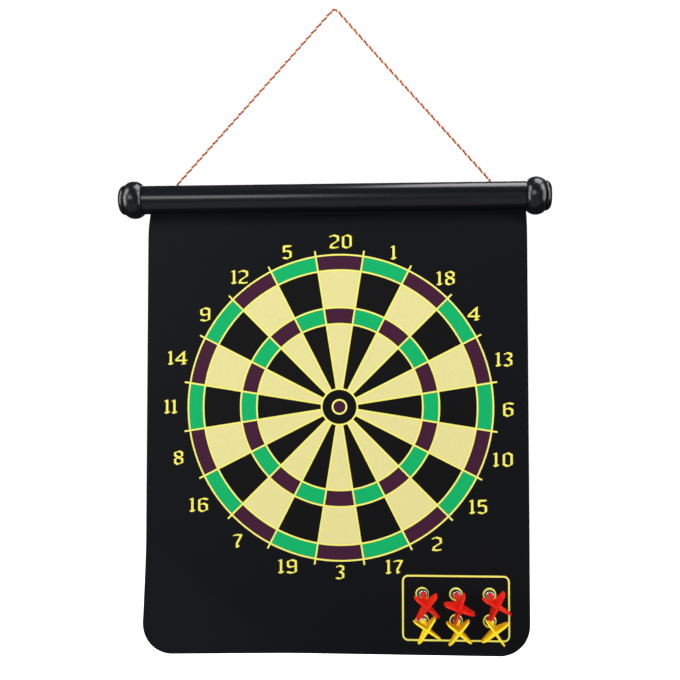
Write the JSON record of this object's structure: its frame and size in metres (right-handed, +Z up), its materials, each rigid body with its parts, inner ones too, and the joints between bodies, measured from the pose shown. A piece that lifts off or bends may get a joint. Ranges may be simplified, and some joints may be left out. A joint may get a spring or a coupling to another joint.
{
  "type": "magnetic dartboard",
  "caption": "Roll-up magnetic dartboard: a printed ferrous mat hung from a slotted tube on a twisted cord, with magnetic darts that pull off.",
  "frame": {"origin": "where the nail carries the object: the underside of the cord at the top of its loop", "axes": "+Z is up, the printed face looks along -Y, leaning back 2.5 degrees as it hangs, and +X is to the player's right"},
  "size_m": [0.4193, 0.0647, 0.6243],
  "materials": {
    "cord": "twisted two-ply cord, a thick red strand and a thin cream one",
    "tube_black": "gloss black, faint extrusion lines",
    "knob_black": "satin gloss black, turned",
    "bead_plastic": "extruded, matte",
    "printed_film": "soft matte vinyl film, printed",
    "ferrous_sheet": "iron-filled flexible sheet, dull",
    "backing_sheet": "fine woven-pattern vinyl, matte",
    "magnet_nickel": "nickel plated",
    "cap_chrome": "polished chrome",
    "flight_red": "moulded soft plastic, semi gloss",
    "flight_yellow": "moulded soft plastic, semi gloss"
  },
  "bodies": {
    "hanger": {"hanging_cord": "cord"},
    "tube": {"top_tube": "tube_black", "end_knob_left": "knob_black", "end_knob_right": "knob_black", "cord_knot_left": "cord", "cord_knot_right": "cord"},
    "mat": {"mat_bead": "bead_plastic", "mat_printed_face": "printed_film", "mat_ferrous_core": "ferrous_sheet", "mat_backing": "backing_sheet"},
    "red_dart_1": {"red_dart_1_magnet": "magnet_nickel", "red_dart_1_cap": "cap_chrome", "red_dart_1_flight": "flight_red"},
    "red_dart_2": {"red_dart_2_magnet": "magnet_nickel", "red_dart_2_cap": "cap_chrome", "red_dart_2_flight": "flight_red"},
    "red_dart_3": {"red_dart_3_magnet": "magnet_nickel", "red_dart_3_cap": "cap_chrome", "red_dart_3_flight": "flight_red"},
    "yellow_dart_1": {"yellow_dart_1_magnet": "magnet_nickel", "yellow_dart_1_cap": "cap_chrome", "yellow_dart_1_flight": "flight_yellow"},
    "yellow_dart_2": {"yellow_dart_2_magnet": "magnet_nickel", "yellow_dart_2_cap": "cap_chrome", "yellow_dart_2_flight": "flight_yellow"},
    "yellow_dart_3": {"yellow_dart_3_magnet": "magnet_nickel", "yellow_dart_3_cap": "cap_chrome", "yellow_dart_3_flight": "flight_yellow"}
  },
  "joints": [
    {"name": "tube_tilt", "type": "hinge", "parent": "hanger", "child": "tube", "pos_m": [0, 0, -0.1742], "axis": [1, 0, 0], "range_deg": [-20, 20]},
    {"name": "mat_swing", "type": "hinge", "parent": "tube", "child": "mat", "pos_m": [0.0019, 0, -0.1957], "axis": [1, 0, 0], "range_deg": [-16, 11]},
    {"name": "red_dart_1_pull", "type": "slide", "parent": "mat", "child": "red_dart_1", "axis": [0, -0.999, -0.0436], "range_m": [0, 0.12]},
    {"name": "red_dart_2_pull", "type": "slide", "parent": "mat", "child": "red_dart_2", "axis": [0, -0.999, -0.0436], "range_m": [0, 0.12]},
    {"name": "red_dart_3_pull", "type": "slide", "parent": "mat", "child": "red_dart_3", "axis": [0, -0.999, -0.0436], "range_m": [0, 0.12]},
    {"name": "yellow_dart_1_pull", "type": "slide", "parent": "mat", "child": "yellow_dart_1", "axis": [0, -0.999, -0.0436], "range_m": [0, 0.12]},
    {"name": "yellow_dart_2_pull", "type": "slide", "parent": "mat", "child": "yellow_dart_2", "axis": [0, -0.999, -0.0436], "range_m": [0, 0.12]},
    {"name": "yellow_dart_3_pull", "type": "slide", "parent": "mat", "child": "yellow_dart_3", "axis": [0, -0.999, -0.0436], "range_m": [0, 0.12]}
  ]
}
